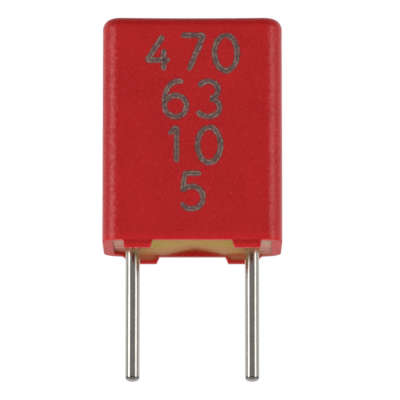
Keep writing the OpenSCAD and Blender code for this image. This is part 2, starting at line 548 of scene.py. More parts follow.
@dataclass(frozen=True)
class CastResin:
    """Olive and amber epoxy resin, cloudy and a little see-through, thin and pinkish at the ends, with a
    painted reflection of the red walls there and painted shade in its folds and along the walls.
    """

    olive: Colour = srgb(172, 136, 54)
    green: Colour = srgb(158, 136, 44)
    gold: Colour = srgb(158, 112, 40)
    tan: Colour = srgb(176, 126, 72)
    rear: Colour = srgb(150, 74, 46)
    # The narrow spaces beside the leads are pinkish, partly because the resin is thinner there and partly
    # as a painted reflection of the red walls. The paler peach outside the oval is a painted highlight.
    pocket_middle: Colour = srgb(186, 150, 126)
    pocket_edge: Colour = srgb(208, 142, 124)
    pocket_rear: Colour = srgb(176, 98, 82)
    # Painted shade: this dark brown darkens the folds, the oval's outline, the resin along the front and
    # end walls and the rear left corner.
    fold: Colour = srgb(104, 34, 26)
    foot_place: float = 1.5 * MM
    foot_reach: float = 0.45 * MM
    lead_place: float = 2.5 * MM
    lead_reach: tuple[float, float] = (0.9 * MM, 0.35 * MM)
    half_width: float = 1.97 * MM
    band_depth: float = 0.25 * MM
    wave_depth: float = 0.012 * MM
    cloud_share: float = 0.12
    painted_shade_share: float = 0.9
    roughness: tuple[float, float] = (0.42, 0.55)
    refraction: float = 1.42

    def material(self, effects: Effects) -> bpy.types.Material:
        """Build the material.

        Args:
            effects: The shared node groups.

        Returns:
            The material.
        """
        material, nodes, shader = start_material("cast_resin")
        place = nodes.place()
        axes = nodes.add("ShaderNodeSeparateXYZ", Vector=place)
        beside = nodes.math("ABSOLUTE", axes.outputs["X"])
        clouds = nodes.effect(effects.mottle, Place=place, Size=0.7 * MM, Speck_Size=0.15 * MM)["Clouds"]
        bands = nodes.noise(nodes.stretched(place, (0.12, 1, 1)), 0.3 * MM, detail=1)
        unevenness = nodes.ramp(bands, 0.3, 0.7, -self.band_depth, self.band_depth)
        depth = nodes.math("ADD", axes.outputs["Y"], unevenness)
        in_front = nodes.ramp(depth, 0.1 * self.half_width, -0.4 * self.half_width)
        by_foot = nodes.ramp(nodes.away(beside, self.foot_place), self.foot_reach, 0)
        body = nodes.mix(nodes.math("MULTIPLY", by_foot, in_front), self.olive, self.green)
        by_lead = nodes.ramp(nodes.away(beside, self.lead_place), *self.lead_reach)
        body = nodes.mix(by_lead, body, self.gold)
        behind = nodes.ramp(depth, -0.15 * self.half_width, 0.3 * self.half_width, 0, 0.9)
        behind = nodes.math("MULTIPLY", behind, nodes.math("SUBTRACT", 1, by_lead))
        body = nodes.mix(behind, body, self.tan)
        at_rear = nodes.ramp(depth, 0.5 * self.half_width, 0.98 * self.half_width)
        body = nodes.mix(at_rear, body, self.rear)
        # Pink of the narrow spaces: partly thinner resin, partly painted reflection of the red walls, with
        # a painted peach highlight outside the oval.
        on_oval = nodes.ramp(nodes.attribute("plateau"), 0.6, 0.95)
        pocket = nodes.mix(on_oval, self.pocket_edge, self.pocket_middle)
        pocket_rear = nodes.ramp(depth, 0.2 * self.half_width, 0.9 * self.half_width)
        pocket = nodes.mix(pocket_rear, pocket, self.pocket_rear)
        body = nodes.mix(nodes.attribute("pocket"), body, pocket)
        # Painted shade from the crease attribute: dark brown in the folds, round the oval and along the
        # walls.
        painted_shade = nodes.math("MULTIPLY", nodes.attribute("crease"), self.painted_shade_share)
        body = nodes.mix(painted_shade, body, self.fold)
        colour = nodes.mix(nodes.math("MULTIPLY", clouds, self.cloud_share), body, self.rear)
        roughness = nodes.ramp(clouds, 0, 1, *self.roughness)
        nodes.dress(shader, colour, roughness, nodes.noise(place, 0.35 * MM), self.wave_depth)
        shader.inputs["IOR"].default_value = self.refraction
        return material


@dataclass(frozen=True)
class TinnedWire:
    """Bright tin over a drawn wire, with faint lines along it and a brown film next to the resin."""

    tin: Colour = srgb(170, 166, 159)
    dull: Colour = srgb(156, 151, 144)
    # Painted sheen: a paler tin colour where the wire turns away from the view.
    painted_edge_sheen: Colour = srgb(206, 202, 196)
    film: Colour = srgb(168, 128, 98)
    film_top: float = 0.28 * MM
    film_bottom: float = -0.05 * MM
    film_metal: float = 0.45
    line_width: float = 0.05 * MM
    line_depth: float = 0.0006 * MM
    roughness: tuple[float, float] = (0.12, 0.17)

    def material(self, effects: Effects) -> bpy.types.Material:
        """Build the material.

        Args:
            effects: The shared node groups.

        Returns:
            The material.
        """
        material, nodes, shader = start_material("tinned_wire")
        place = nodes.place()
        lines = nodes.noise(nodes.stretched(place, (1, 1, 0.02)), self.line_width, detail=2)
        clouds = nodes.effect(effects.mottle, Place=place, Size=0.5 * MM, Speck_Size=0.1 * MM)["Clouds"]
        height = nodes.add("ShaderNodeSeparateXYZ", Vector=place).outputs["Z"]
        metal = nodes.mix(nodes.math("MULTIPLY", clouds, 0.5), self.tin, self.dull)
        near_resin = nodes.ramp(height, self.film_bottom, self.film_top)
        # Painted sheen: the tin turns paler where its surface is seen at a low angle, standing in for a
        # reflection.
        facing = nodes.add("ShaderNodeLayerWeight", Blend=0.5).outputs["Facing"]
        metal = nodes.mix(nodes.ramp(facing, 0.12, 0.4), metal, self.painted_edge_sheen)
        colour = nodes.mix(near_resin, metal, self.film)
        nodes.dress(shader, colour, nodes.ramp(lines, 0.3, 0.7, *self.roughness), lines, self.line_depth)
        nodes.put(shader.inputs["Metallic"], nodes.ramp(near_resin, 0, 1, 1, self.film_metal))
        return material


@dataclass(frozen=True)
class EtchedMark:
    """Plastic charred and foamed by a laser, in a narrow scorched rim."""

    ash: Colour = srgb(136, 110, 100)
    char: Colour = srgb(82, 54, 52)
    scorched: Colour = srgb(116, 12, 16)
    plastic: Colour = MouldedPlastic.colour
    ash_place: float = 0.45
    etch_depth: float = 0.014 * MM

    def material(self, effects: Effects) -> bpy.types.Material:
        """Build the material.

        Args:
            effects: The shared node groups.

        Returns:
            The material.
        """
        material, nodes, shader = start_material("etched_mark")
        place = nodes.place()
        grain = nodes.effect(effects.grain, Place=place, Size=0.08 * MM, Fineness=0.5)["Height"]
        uneven = nodes.ramp(nodes.noise(place, 0.12 * MM, detail=2), 0.3, 0.7, -0.12, 0.12)
        across = nodes.math("ABSOLUTE", nodes.attribute("across"))
        from_middle = nodes.math("ADD", across, uneven)
        near_side = nodes.ramp(nodes.away(from_middle, self.ash_place), 0.4, 0.05, 0.1, 1)
        blotches = nodes.ramp(nodes.noise(place, 0.16 * MM, detail=3, roughness=0.7), 0.4, 0.6, 0.1, 1)
        etched = nodes.mix(nodes.math("MULTIPLY", near_side, blotches), self.char, self.ash)
        rim = nodes.mix(nodes.ramp(from_middle, 0.74, 0.98), self.scorched, self.plastic)
        outside = nodes.ramp(from_middle, 0.6, 0.72)
        roughness = nodes.ramp(grain, 0.3, 0.7, 0.6, 0.85)
        nodes.dress(shader, nodes.mix(outside, etched, rim), roughness, grain, self.etch_depth)
        return material


@dataclass(frozen=True)
class SprayedMetal:
    """Rough zinc sprayed on the ends of the roll."""

    bright: Colour = srgb(176, 178, 180)
    dark: Colour = srgb(118, 120, 124)

    def material(self, effects: Effects) -> bpy.types.Material:
        """Build the material.

        Args:
            effects: The shared node groups.

        Returns:
            The material.
        """
        material, nodes, shader = start_material("sprayed_metal")
        place = nodes.place()
        grain = nodes.effect(effects.grain, Place=place, Size=0.14 * MM)["Height"]
        colour = nodes.mix(nodes.ramp(grain, 0.35, 0.65), self.dark, self.bright)
        nodes.dress(shader, colour, nodes.ramp(grain, 0.3, 0.7, 0.5, 0.7), grain, 0.03 * MM)
        shader.inputs["Metallic"].default_value = 0.9
        return material


@dataclass(frozen=True)
class MetallisedFilm:
    """Silvery film whose turns show as fine lines on the outside of the roll."""

    silver: Colour = srgb(196, 198, 202)
    shade: Colour = srgb(150, 152, 158)

    def material(self, effects: Effects) -> bpy.types.Material:
        """Build the material.

        Args:
            effects: The shared node groups.

        Returns:
            The material.
        """
        material, nodes, shader = start_material("metallised_film")
        place = nodes.place()
        clouds = nodes.effect(effects.mottle, Place=place, Size=1.2 * MM)["Clouds"]
        edges = nodes.noise(nodes.stretched(place, (1, 0.05, 0.05)), 0.08 * MM, detail=1)
        colour = nodes.mix(clouds, self.silver, self.shade)
        nodes.dress(shader, colour, nodes.ramp(edges, 0.3, 0.7, 0.2, 0.35), edges, 0.002 * MM)
        shader.inputs["Metallic"].default_value = 0.7
        return material


# ---------------------------------------------------------------------------------------------
# The case
# ---------------------------------------------------------------------------------------------


class Wall(Enum):
    """The two long walls, by the side of the Y axis on which they stand."""

    FRONT = -1
    REAR = 1


@dataclass(frozen=True)
class Columns:
    """Where the columns of a skin stand round the plan, and how the lower edge runs under them.

    Attributes:
        centres: Centres from which the outline is measured, shape (n, 2).
        outward: Outward directions, shape (n, 2).
        edge: Height of the lower edge at each column.
        inward: Into the wall from its lower edge, along X and Z within the wall, shape (n, 2).
    """

    centres: Array
    outward: Array
    edge: Array
    inward: Array


@dataclass(frozen=True)
class FootRow:
    """The two feet under one long wall, from the middle outwards."""

    gap: float
    length: float
    inner_run: float
    outer_run: float
    hollow_outer: bool
    lip: float = 0.0
    softness: float = 0.05 * MM

    def lower_edge(self, along: Array, height: float) -> Array:
        """Height of the wall's lower edge above the board.

        It falls in a straight slope to a foot's inner corner, lies on the board under the foot,
        and rises again on the outer side: in a straight slope, or as a quarter ellipse where the
        root is filleted.

        Args:
            along: Distance from the middle of the wall.
            height: Height of the rim beside the feet.

        Returns:
            The edge's height at each place.
        """
        inner = np.clip((self.gap / 2 - along) / self.inner_run, 0, 1 - self.lip / height)
        outer = np.clip((along - self.gap / 2 - self.length) / self.outer_run, 0, 1)
        if self.hollow_outer:
            outer = np.sqrt(1 - (1 - outer) ** 2)
        return height * np.maximum(inner, outer)

    def outline(self, height: float, reach: float) -> tuple[Array, Array]:
        """Half of the lower edge, from the middle outwards, with each corner slightly rounded.

        Args:
            height: Height of the rim beside the feet.
            reach: Where the straight part of the wall ends.

        Returns:
            Points as distance from the middle and height, and at each the way into the wall.
        """
        root = self.gap / 2 - self.inner_run * (1 - self.lip / height)
        end = self.gap / 2 + self.length
        turns = [(0, height - self.lip), (root, height - self.lip), (self.gap / 2, 0), (end, 0)]
        if self.hollow_outer:
            points, inward = rounded_path([*turns, (end, 3 * self.softness)], self.softness)
            turn = np.linspace(0.3, math.acos(1 - (reach - end) / self.outer_run), 8)[:-1]
            rise = np.stack([end + self.outer_run * (1 - np.cos(turn)), height * np.sin(turn)], axis=-1)
            away = np.stack([-np.cos(turn) / self.outer_run, np.sin(turn) / height], axis=-1)
            away /= np.linalg.norm(away, axis=-1, keepdims=True)
            return np.concatenate([points[:-1], rise]), np.concatenate([inward[:-1], away])
        turns += [(end + self.outer_run, height), (reach, height)]
        points, inward = rounded_path(turns, self.softness)
        return points[:-1], inward[:-1]


def rounded_path(turns: Sequence[tuple[float, float]], radius: float) -> tuple[Array, Array]:
    """A broken line whose corners are rounded by arcs, with evenly spread points between them.

    An arc of the given radius touches both sides of its corner. It starts at radius times
    tan(turn / 2) before the corner, and its direction turns evenly.

    Args:
        turns: The corners, first and last included.
        radius: Radius of the arcs.

    Returns:
        Points and, at each, the direction to the left of the line, both of shape (n, 2).
    """
    corners = np.array(turns, dtype=float)
    leg = np.diff(corners, axis=0)
    heading = np.arctan2(leg[:, 1], leg[:, 0])
    leg /= np.linalg.norm(leg, axis=-1, keepdims=True)
    points, headings, start = [], [], corners[0]
    for number in range(1, len(corners) - 1):
        bend = heading[number] - heading[number - 1]
        tangent = radius * math.tan(abs(bend) / 2)
        stop = corners[number] - leg[number - 1] * tangent
        steps = max(2, round(np.hypot(*(stop - start)) / (0.16 * MM)))
        points.append(start + (stop - start) * np.linspace(0, 1, steps, endpoint=False)[:, None])
        headings.append(np.full(steps, heading[number - 1]))
        turned = bend * np.linspace(0, 1, 7)
        side = math.copysign(1, bend)
        middle = stop + radius * side * np.array([-leg[number - 1][1], leg[number - 1][0]])
        angle = heading[number - 1] + turned
        points.append(middle + radius * side * np.stack([np.sin(angle), -np.cos(angle)], axis=-1))
        headings.append(angle)
        start = corners[number] + leg[number] * tangent
    points.append(start + (corners[-1] - start) * np.linspace(0, 1, 4)[1:, None])
    headings.append(np.full(3, heading[-1]))
    angle = np.concatenate(headings)
    return np.concatenate(points), np.stack([-np.sin(angle), np.cos(angle)], axis=-1)


@dataclass
class Case:
    """The moulded cup: round upright edges, a softly rounded top and four feet under its rim."""

    low: Vector
    high: Vector
    long_wall: float = 0.38 * MM
    end_wall: float = 0.44 * MM
    roof: float = 0.45 * MM
    edge_radius: float = 0.8 * MM
    top_radius: float = 0.47 * MM
    foot_height: float = 0.33 * MM
    rim_rounding: float = 0.045 * MM
    top_sink: float = 0.03 * MM
    face_sink: float = 0.02 * MM
    front_feet: FootRow = FootRow(3.5 * MM, 1.08 * MM, 0.11 * MM, 0.04 * MM, False)
    rear_feet: FootRow = FootRow(3.04 * MM, 1.28 * MM, 0.15 * MM, 0.22 * MM, True, 0.04 * MM)
    corner_steps: int = 20
    end_steps: int = 36

    @property
    def half_length(self) -> float:
        """Half the length of the box."""
        return (self.high.x - self.low.x) / 2

    @property
    def half_width(self) -> float:
        """Half the width of the box."""
        return (self.high.y - self.low.y) / 2

    @property
    def top(self) -> float:
        """Height of the top."""
        return self.high.z

    @property
    def ceiling(self) -> float:
        """Height of the cavity's closed end."""
        return self.top - self.roof

    def feet(self, wall: Wall) -> FootRow:
        """The feet under one long wall."""
        return self.front_feet if wall is Wall.FRONT else self.rear_feet

    def thickness(self, outward: Array) -> Array:
        """Thickness of the wall: the long walls' and the end walls', blended round the corners."""
        return self.long_wall * outward[:, 1] ** 2 + self.end_wall * outward[:, 0] ** 2

    def columns(self) -> Columns:
        """Place the columns of the skin, one after another round the plan.

        Each column stands where a line at right angles to the outline meets it. Along a straight
        wall its centre slides along the line of corner centres, and round a corner the direction
        turns about one centre, so a point at an inset d lies at centre + outward (radius - d).

        Returns:
            The columns.
        """
        straight_x = self.half_length - self.edge_radius
        straight_y = self.half_width - self.edge_radius
        centres, outward, edges, inward = [], [], [], []
        turn = np.linspace(0, math.pi / 2, self.corner_steps + 1)
        for quarter, wall in enumerate((Wall.REAR, Wall.REAR, Wall.FRONT, Wall.FRONT)):
            side_x = 1 if quarter in (0, 3) else -1
            feet = self.feet(wall)
            angles = turn + quarter * math.pi / 2
            corner = [side_x * straight_x, wall.value * straight_y]
            centres.append(np.broadcast_to(corner, (len(turn), 2)))
            outward.append(np.stack([np.cos(angles), np.sin(angles)], axis=-1))
            from_wall = turn[::-1] if quarter in (0, 2) else turn
            edges.append(feet.lower_edge(straight_x + self.edge_radius * from_wall, self.foot_height))
            inward.append(np.broadcast_to([0.0, 1.0], (len(turn), 2)))
            if quarter in (0, 2):
                points, into = feet.outline(self.foot_height, straight_x)
                x = wall.value * np.concatenate([points[::-1, 0], -points[1:, 0]])
                centres.append(np.stack([x, np.full(len(x), wall.value * straight_y)], axis=-1))
                outward.append(np.broadcast_to([0.0, wall.value], (len(x), 2)))
                edges.append(np.concatenate([points[::-1, 1], points[1:, 1]]))
                aside = wall.value * np.concatenate([into[::-1, 0], -into[1:, 0]])
                inward.append(np.stack([aside, np.concatenate([into[::-1, 1], into[1:, 1]])], axis=-1))
            else:
                y = -side_x * np.linspace(straight_y, -straight_y, self.end_steps)[1:-1]
                centres.append(np.stack([np.full(len(y), side_x * straight_x), y], axis=-1))
                outward.append(np.broadcast_to([side_x, 0.0], (len(y), 2)))
                edges.append(np.full(len(y), self.foot_height))
                inward.append(np.broadcast_to([0.0, 1.0], (len(y), 2)))
        return Columns(*(np.concatenate(parts) for parts in (centres, outward, edges, inward)))

    def sunk(self, points: Array) -> Array:
        """Let the top and the long faces sink a little, as moulded plastic does when it cools.

        The top falls by a parabola along X, and each long face moves inwards by the product of a
        parabola along X and one along Z. Both fade out towards the edges.

        Args:
            points: Points of the skin, shape (..., 3).

        Returns:
            The moved points.
        """
        x, y, z = np.moveaxis(points, -1, 0)
        across = np.clip(1 - (x / self.half_length) ** 2, 0, 1)
        up = np.clip(1 - (2 * z / self.top - 1) ** 2, 0, 1)
        near_top = smooth_step(self.top - 1.5 * self.top_radius, self.top, z)
        inner_face = self.half_width - self.long_wall
        outer = smooth_step(inner_face, inner_face + self.long_wall / 2, np.abs(y))
        fall = self.top_sink * across * near_top
        inwards = self.face_sink * across * up * outer * np.sign(y)
        return np.stack([x, y - inwards, z - fall], axis=-1)

    def front_face(self, x: Array, z: Array) -> Array:
        """The place along Y of the marked face, at each x and z."""
        flat = np.stack([x, np.full_like(x, -self.half_width), z], axis=-1)
        return self.sunk(flat)[..., 1]

    def rings(self) -> tuple[Array, slice]:
        """Rings of the skin, from the middle of the top, down the outside and up the inside.

        The rim is rounded by a quarter circle swept along the lower edge, at right angles to it:
        at an angle a, a point lies r (1 - cos a) in from the face and r (1 - sin a) above the edge.

        Returns:
            Points, shape (rings, columns, 3), and which of the rings lie on the rim.
        """
        columns = self.columns()
        level = np.ones_like(columns.edge)
        thick = self.thickness(columns.outward)
        radius = self.rim_rounding

        def ring(inset: Array, height: Array, share: float = 1.0, aside: float = 0.0) -> Array:
            """One ring: the outline less an inset, times a share, moved aside along the wall."""
            plan = (columns.centres + columns.outward * (self.edge_radius - inset)[:, None]) * share
            return np.column_stack([plan[:, 0] + columns.inward[:, 0] * aside, plan[:, 1], height])

        def near_edge(inset: Array, above: float) -> Array:
            """One ring at a distance above the lower edge, at right angles to it."""
            return ring(inset, columns.edge + columns.inward[:, 1] * above, aside=above)

        shares = (0.02, *np.linspace(0.1, 0.98, 14))
        rings = [ring(self.top_radius * level, self.top * level, share) for share in shares]
        for angle in np.linspace(math.pi / 2, 0, 15):
            inset = self.top_radius * (1 - math.cos(angle))
            height = self.top - self.top_radius * (1 - math.sin(angle))
            rings.append(ring(inset * level, height * level))
        outer_foot = near_edge(0 * level, radius)
        wall_top = ring(0 * level, (self.top - self.top_radius) * level)
        rings += [wall_top + (outer_foot - wall_top) * share for share in np.linspace(0, 1, 28)[1:-1]]
        bend = np.linspace(0, math.pi / 2, 6)
        rings += [
            near_edge(radius * (1 - math.cos(a)) * level, radius * (1 - math.sin(a))) for a in bend
        ]
        first_on_rim = len(rings) - 1
        flat = thick - 2 * radius
        rings += [near_edge(radius + share * flat, 0.0) for share in (0.25, 0.5, 0.75, 1)]
        rings += [
            near_edge(thick - radius * (1 - math.sin(a)), radius * (1 - math.cos(a)))
            for a in bend[1:]
        ]
        on_rim = slice(first_on_rim, len(rings))
        inner_foot, inner_top = rings[-1], ring(thick, self.ceiling * level)
        climb = np.concatenate([np.linspace(0, 0.08, 22)[1:], np.linspace(0.08, 1, 8)[1:]])
        rings += [inner_foot + (inner_top - inner_foot) * share for share in climb]
        rings += [ring(thick, self.ceiling * level, share) for share in (0.75, 0.4, 0.05)]
        return self.sunk(np.stack(rings)), on_rim

    def build(self, material: bpy.types.Material, resin: "Resin") -> None:
        """Make the case and dress it.

        Args:
            material: The finish.
            resin: The resin, which leaves a film on the inner walls beside it.
        """
        rings, on_rim = self.rings()
        case = mesh_object("case_shell", [closed_surface(rings)], sharp_deg=32)
        x, y, z = np.moveaxis(rings.reshape(-1, 3), -1, 0)
        within_walls = np.abs(y) < self.half_width - 0.9 * self.long_wall
        within_ends = np.abs(x) < self.half_length - 0.9 * self.end_wall
        below_resin = resin.height(x, y) - z
        near_resin = below_resin > -10 * resin.film_reach
        film = np.exp(-np.clip(below_resin, 0, None) / resin.film_reach)
        # Where the painted rim highlight goes: the rim's lower faces above the feet, except along the rear
        # wall, and the feet's sloped edges.
        rim = np.zeros(rings.shape[:2])
        columns = self.columns()
        above_feet = smooth_step(0.7 * self.foot_height, 0.85 * self.foot_height, columns.edge)
        on_slope = smooth_step(0.9, 0.6, columns.inward[:, 1])
        not_rear = smooth_step(1, 0.5, columns.outward[:, 1])
        rim[on_rim] = np.maximum(above_feet * not_rear, on_slope)
        add_attribute(case, "film", film * (within_walls & within_ends) * near_resin)
        add_attribute(case, "rim", rim.ravel())
        settle(case, "case", material, "case")


# ---------------------------------------------------------------------------------------------
# The resin
# ---------------------------------------------------------------------------------------------


@dataclass
class Resin:
    """The cast resin, whose open face is hollow in the middle and has crept down feet and leads."""

    case: Case
    lead_pitch: float
    lead_radius: float
    recess: float = 0.04 * MM
    front_hollow: float = 0.1 * MM
    rear_hollow: float = 0.226 * MM
    hollow_middle: float = 0.12 * MM
    hollow_half_length: float = 1.22 * MM
    pocket_start: float = 2.78 * MM
    pocket_end: float = 2.92 * MM
    pocket_middle: float = 3.05 * MM
    pocket_depths: Pair = (0.17 * MM, 0.04 * MM)
    oval_middles: Pair = (3.03 * MM, 3.1 * MM)
    oval_half_lengths: Pair = (0.13 * MM, 0.2 * MM)
    oval_place: float = -0.98 * MM
    oval_half_width: float = 0.64 * MM
    foot_creep: float = 0.17 * MM
    lead_creep: float = 0.03 * MM
    creep_reach: float = 0.1 * MM
    creep_softness: float = 0.12 * MM
    fold_place: float = 0.3 * MM
    fold_height: float = 0.05 * MM
    fold_width: float = 0.11 * MM
    lower_fold_places: Pair = (1.3 * MM, 0.95 * MM)
    lower_fold_width: float = 0.13 * MM
    shadow_reach: float = 0.13 * MM
    end_shadow_reach: float = 0.035 * MM
    film_reach: float = 0.045 * MM
    overlap: float = 0.01 * MM

    @property
    def inner_width(self) -> float:
        """Half the width of the cavity."""
        return self.case.half_width - self.case.long_wall

    @staticmethod
    def by_side(x: Array, pair: Pair) -> Array:
        """The first value of a pair on the left, where x is below 0, and the second on the right."""
        return np.where(x < 0, *pair)

    def pocket(self, x: Array) -> Array:
        """How far each place lies in the narrow space between a lead and the end wall, 0 to 1."""
        return smooth_step(self.pocket_start, self.pocket_end, np.abs(x))

    def crease(self, x: Array, y: Array) -> Array:
        """The fold across each of those spaces, raised in the face and darkened by painted shade: a
        Gaussian about a slightly bent line.
        """
        along = np.abs(x) - self.pocket_middle
        bent = self.fold_place + 0.22 * along + 0.6 * along**2 / MM + 0.06 * MM * np.sign(x)
        return self.pocket(x) * np.exp(-(((y - bent) / self.fold_width) ** 2))

    def plateau(self, x: Array, y: Array) -> Array:
        """The smooth oval in front in each of those spaces: 1 in its middle, a half on its outline."""
        from_middle = np.abs(x) - self.by_side(x, self.oval_middles)
        along = from_middle / self.by_side(x, self.oval_half_lengths)
        across = (y - self.oval_place) / self.oval_half_width
        return self.pocket(x) / (1 + (along**2 + across**2) ** 3)

    def painted_shade_lines(self, x: Array, y: Array) -> Array:
        """Where shade is painted on the resin: in the folds, round the oval, along the front and end walls
        and in the rear left corner.
        """
        along = np.abs(x)
        pocket = self.pocket(x)
        # Painted shade along the end walls and the front wall, stronger in the narrow spaces.
        from_end = np.clip(self.case.half_length - self.case.end_wall - along, 0, None)
        at_end = 0.8 * np.exp(-from_end / self.end_shadow_reach)
        from_front = np.clip(y + self.inner_width, 0, None)
        at_front = (0.35 + 0.45 * pocket) * np.exp(-from_front / self.shadow_reach)
        inside = self.plateau(x, y)
        outline = 0.4 * (4 * inside * (1 - inside)) ** 5
        bent = self.by_side(x, self.lower_fold_places) - 0.9 * (along - self.pocket_middle)
        lower_fold = 0.6 * pocket * np.exp(-(((y - bent) / self.lower_fold_width) ** 2))
        corner = 0.8 * smooth_step(1.2 * MM, 1.7 * MM, y) * smooth_step(3.0 * MM, 3.2 * MM, -x)
        return np.max([self.crease(x, y), outline, lower_fold, corner, at_end, at_front], axis=0)

    def pink_thin_and_reflected(self, x: Array, y: Array) -> Array:
        """Where the resin is pinkish: thinner there, and with a painted reflection of the red walls; in
        those spaces, but less behind the right lead.
        """
        golden = 0.8 * smooth_step(0.8 * MM, 1.3 * MM, y) * smooth_step(3.06 * MM, 2.92 * MM, x)
        return self.pocket(x) * (1 - golden * (x > 0))

    def height(self, x: Array, y: Array) -> Array:
        """Height of the open face.

        In front it starts a little inside the rim, and at the rear flush with it. The hollow lifts
        it by 1 - t^1.5 along X, more towards the rear wall. Next to each foot and round each lead
        it falls by an exponential of the distance, and a fold crosses the narrow space beside each
        lead, which is less full than the middle.

        Args:
            x: Places along X.
            y: Places along Y.

        Returns:
            The height above the board at each place.
        """
        case = self.case
        along = np.abs(x)
        rearward = smooth_step(-self.inner_width, self.inner_width, y)
        hollow = self.front_hollow + (self.rear_hollow - self.front_hollow) * rearward
        share = np.clip(np.abs(x - self.hollow_middle) / self.hollow_half_length, 0, 1)
        sunken = self.pocket(x) * self.by_side(x, self.pocket_depths)
        height = case.foot_height + self.recess * (1 - 0.9 * rearward) + hollow * (1 - share**1.5)
        height = height + sunken * rearward
        for wall in Wall:
            feet = case.feet(wall)
            near = np.exp(-np.clip(self.inner_width - wall.value * y, 0, None) / self.creep_reach)
            soft = self.creep_softness
            start, end = feet.gap / 2, feet.gap / 2 + feet.length
            under = smooth_step(start - soft / 2, start + soft, along)
            under = under * smooth_step(end, end - soft, along)
            height = height - (self.foot_creep + sunken * rearward) * near * under
        from_lead = np.hypot(along - self.lead_pitch / 2, y) - self.lead_radius
        height = height - self.lead_creep * np.exp(-np.clip(from_lead, 0, None) / self.creep_reach)
        waves = np.sin(x / (0.31 * MM) + 1.3) * np.sin(y / (0.37 * MM) + 0.4)
        return height + self.fold_height * self.crease(x, y) - 0.006 * MM * waves

    def rings(self) -> Array:
        """Rings of the skin: shrinking outlines over the open face, then up the walls and over.

        Returns:
            Points, shape (rings, columns, 3).
        """
        case = self.case
        columns = case.columns()
        reach = case.edge_radius - case.thickness(columns.outward) + self.overlap
        outline = columns.centres + columns.outward * reach[:, None]
        rings = []
        for share in np.concatenate([[0.01], np.linspace(0.02, 1, 130)[1:]]):
            plan = outline * share
            rings.append(np.column_stack([plan, self.height(plan[:, 0], plan[:, 1])]))
        edge = rings[-1][:, 2]
        for share in (0.03, 0.1, 0.3, 0.6, 1):
            rings.append(np.column_stack([outline, edge + (case.ceiling - edge) * share]))
        for share in (0.7, 0.3, 0.05):
            rings.append(np.column_stack([outline * share, np.full(len(outline), case.ceiling)]))
        return np.stack(rings)

    def build(self, material: bpy.types.Material) -> None:
        """Make the resin and dress it.

        Args:
            material: The finish.
        """
        rings = self.rings()
        resin = mesh_object("resin_fill", [closed_surface(rings)], sharp_deg=50)
        x, y = rings.reshape(-1, 3)[:, :2].T
        # The crease mask carries the painted shade. The pocket mask carries the pink of the narrow spaces,
        # which is partly painted reflection.
        masks = {"pocket": self.pink_thin_and_reflected, "plateau": self.plateau, "crease": self.painted_shade_lines}
        for name, mask in masks.items():
            add_attribute(resin, name, mask(x, y))
        settle(resin, "resin", material, "potting_resin")


# ---------------------------------------------------------------------------------------------
# The leads
# ---------------------------------------------------------------------------------------------


@dataclass
class Lead:
    """A tinned wire: round outside the resin, pressed flat inside it, with a rounded cut end."""

    node: str
    low: Vector
    high: Vector
    radius: float
    resin_height: float
    tip_radius: float = 0.2 * MM
    pressed_thickness: float = 0.42 * MM
    pressed_width: float = 0.7 * MM
    pressing_length: float = 0.3 * MM
    columns: int = 64

    def rings(self) -> Array:
        """Rings of the skin, from the cut end upwards.

        Each ring is a superellipse: a circle outside the resin, growing squarer, wider across the
        row and thinner along it where the wire is pressed.

        Returns:
            Points, shape (rings, columns, 3).
        """
        turn = np.linspace(0, math.pi / 2, 10)
        tip_r = self.radius - self.tip_radius * (1 - np.sin(turn))
        tip_z = self.low.z + self.tip_radius * (1 - np.cos(turn))
        flat_r = np.array([0.04, 0.5, 0.96]) * tip_r[0]
        shaft_z = np.linspace(tip_z[-1], self.resin_height, 40)[1:]
        press_z = self.resin_height + self.pressing_length * np.linspace(0, 1, 8)[1:]
        inner_z = np.linspace(press_z[-1], self.high.z, 6)[1:]
        flat_z, cap_z = np.full(len(flat_r), self.low.z), np.full(2, self.high.z)
        z = np.concatenate([flat_z, tip_z, shaft_z, press_z, inner_z, cap_z])
        end_r = np.concatenate([flat_r, tip_r])
        r = np.concatenate([end_r, np.full(len(z) - len(end_r), self.radius)])
        pressed = smooth_step(self.resin_height, self.resin_height + self.pressing_length, z)
        half_x = r + (self.pressed_thickness / 2 - self.radius) * pressed
        half_y = r + (self.pressed_width / 2 - self.radius) * pressed
        half_x[-2:] *= (0.6, 0.05)
        half_y[-2:] *= (0.6, 0.05)
        power = 2 / (2 + 4 * pressed)[:, None]
        angle = np.linspace(0, 2 * math.pi, self.columns, endpoint=False)
        cosine, sine = np.cos(angle), np.sin(angle)
        middle = (self.low.x + self.high.x) / 2
        x = middle + half_x[:, None] * np.sign(cosine) * np.abs(cosine) ** power
        y = half_y[:, None] * np.sign(sine) * np.abs(sine) ** power
        return np.stack([x, y, np.broadcast_to(z[:, None], x.shape)], axis=-1)

    def build(self, material: bpy.types.Material) -> None:
        """Make the lead and dress it.

        Args:
            material: The finish.
        """
        name = self.node.replace("lead", "wire")
        wire = mesh_object(name, [closed_surface(self.rings())], sharp_deg=40)
        settle(wire, "tinned_wire", material, self.node)


# ---------------------------------------------------------------------------------------------
# The marking
# ---------------------------------------------------------------------------------------------


def line(*points: tuple[float, float]) -> Array:
    """A broken line through points, which are in shares of a character's width and height."""
    corners = np.array(points)
    pieces = [np.linspace(a, b, 24, endpoint=False) for a, b in zip(corners[:-1], corners[1:])]
    return np.concatenate([*pieces, corners[-1:]])


def arc(centre: tuple[float, float], radii: tuple[float, float], start_deg: float, end_deg: float) -> Array:
    """Part of an ellipse, counter-clockwise where the end angle is the larger one.

    Args:
        centre: The ellipse's centre, in shares of a character's width and height.
        radii: Its radii, in the same shares.
        start_deg: Where it starts, in degrees from the right-hand side.
        end_deg: Where it ends.

    Returns:
        Points along it.
    """
    angle = np.radians(np.linspace(start_deg, end_deg, 48))
    return np.array(centre) + np.stack([np.cos(angle) * radii[0], np.sin(angle) * radii[1]], axis=-1)


